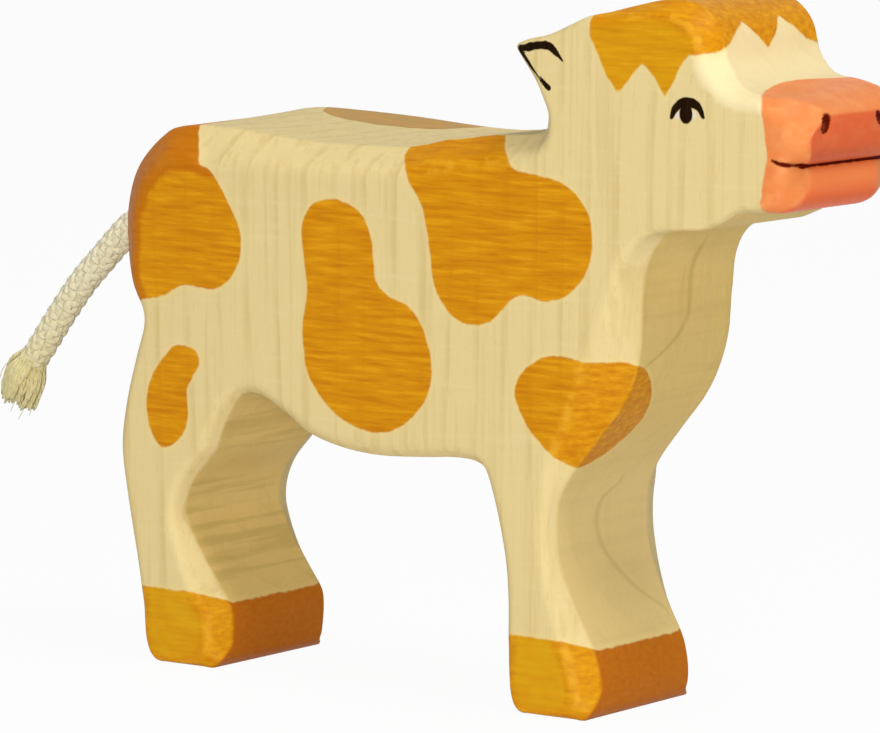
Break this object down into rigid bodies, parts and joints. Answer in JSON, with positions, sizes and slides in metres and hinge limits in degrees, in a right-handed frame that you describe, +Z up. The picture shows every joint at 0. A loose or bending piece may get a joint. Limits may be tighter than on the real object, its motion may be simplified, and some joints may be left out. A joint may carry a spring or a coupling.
{
  "type": "calf figure",
  "caption": "Standing wooden calf figure, sawn from a plank with bevelled edges and painted spots, with a braided cord tail that swings at the rump.",
  "frame": {"origin": "on the ground under the middle of the wooden block", "axes": "+X towards the muzzle, +Y across the plank, +Z up"},
  "size_m": [0.1365, 0.024, 0.0878],
  "materials": {
    "painted_wood": "pale hardwood with satin clear oil, ochre stain spots and coral muzzle",
    "cured_glue": "cured wood glue, hidden in the hole",
    "cotton_cord": "undyed braided cotton",
    "cotton_fray": "undyed cotton yarn, frayed"
  },
  "bodies": {
    "figure": {"wooden_body": "painted_wood", "tail_glue": "cured_glue", "tail_root": "cotton_cord"},
    "tail": {"tail_cord": "cotton_cord", "tail_tuft": "cotton_fray"}
  },
  "joints": [
    {"name": "tail_swing", "type": "hinge", "parent": "figure", "child": "tail", "pos_m": [-0.05528, 0, 0.0564], "axis": [0, 0, 1], "range_deg": [-70, 70], "stiffness_Nm_per_rad": 0.0002}
  ]
}
